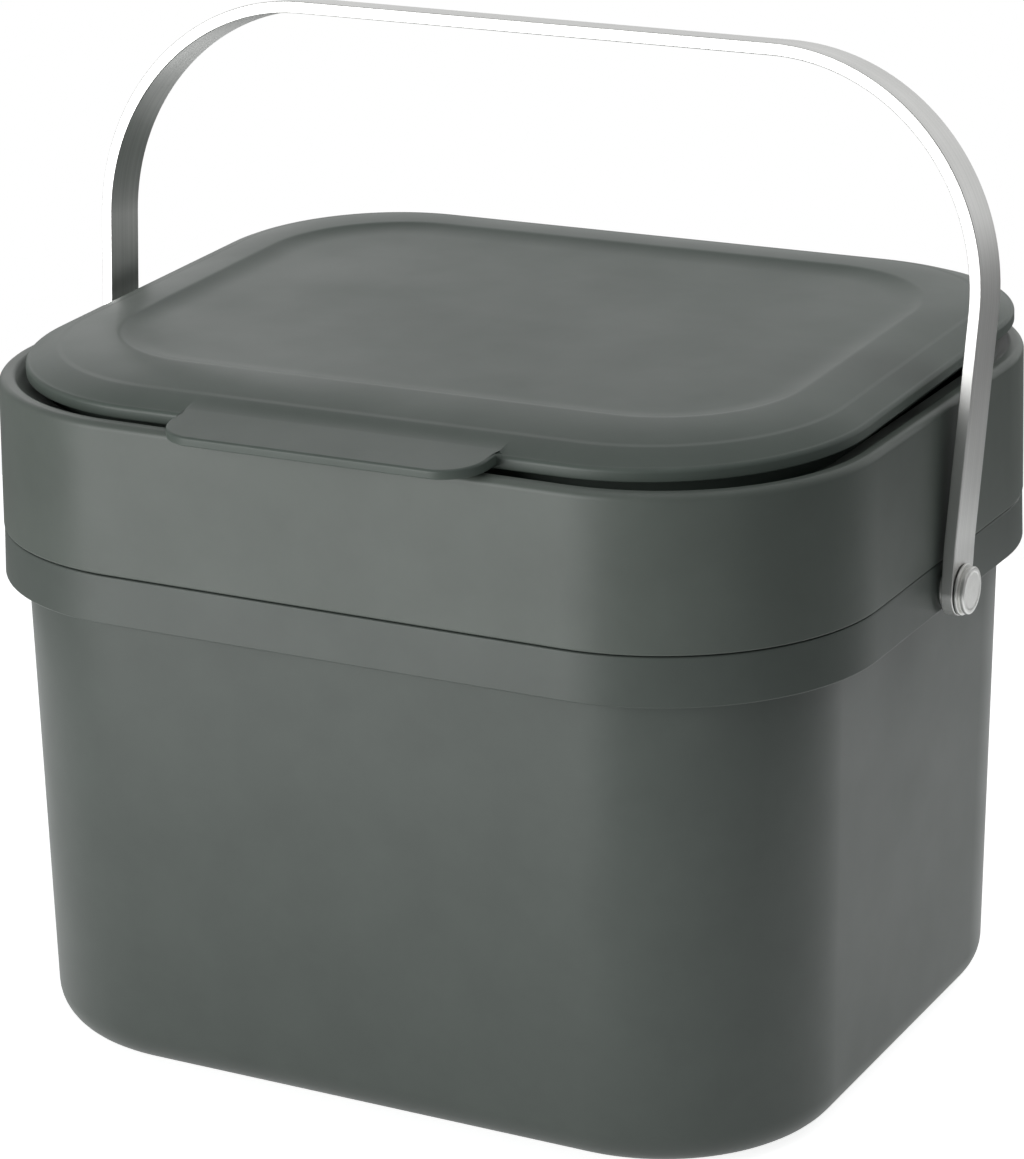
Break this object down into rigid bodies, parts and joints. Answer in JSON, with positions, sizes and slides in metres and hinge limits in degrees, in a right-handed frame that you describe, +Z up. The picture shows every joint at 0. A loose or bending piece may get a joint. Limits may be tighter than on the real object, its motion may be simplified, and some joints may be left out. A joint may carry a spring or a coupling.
{
  "type": "compost caddy with hinged lid",
  "caption": "Tapered kitchen compost bucket with a lift-off rim ring, a hinged lid with a thumb tab and a flat metal strip handle.",
  "frame": {"origin": "on the table, at the middle of the caddy's overall width and depth, which is also the middle of the bucket's base", "axes": "+Z up, -Y to the front where the thumb tab is, +X to the right as seen from the front, along the handle's grip and the lid's hinge axis"},
  "size_m": [0.2614, 0.2223, 0.2682],
  "materials": {
    "body_plastic": "satin moulded polypropylene, dark grey with a slight green cast",
    "lid_plastic": "satin moulded polypropylene, a little smoother than the bucket",
    "strip_metal": "satin, with bright drawn edges",
    "fastener_steel": "satin"
  },
  "bodies": {
    "bucket_body": {"bucket": "body_plastic", "rivet_left": "fastener_steel", "rivet_right": "fastener_steel", "washer_left": "fastener_steel", "washer_right": "fastener_steel", "spacer_left": "fastener_steel", "spacer_right": "fastener_steel"},
    "rim_body": {"rim_ring": "body_plastic", "hinge_pin_left": "fastener_steel", "hinge_pin_right": "fastener_steel"},
    "lid_body": {"lid": "lid_plastic"},
    "handle_body": {"handle": "strip_metal"}
  },
  "joints": [
    {"name": "ring_lift", "type": "slide", "parent": "bucket_body", "child": "rim_body", "axis": [0, 0, 1], "range_m": [0, 0.04]},
    {"name": "lid_hinge", "type": "hinge", "parent": "rim_body", "child": "lid_body", "pos_m": [0, 0.10712, 0.1811], "axis": [-1, 0, 0], "range_deg": [0, 25]},
    {"name": "handle_swing", "type": "hinge", "parent": "bucket_body", "child": "handle_body", "pos_m": [0, 0, 0.1336], "axis": [1, 0, 0], "range_deg": [-122, 137]}
  ]
}
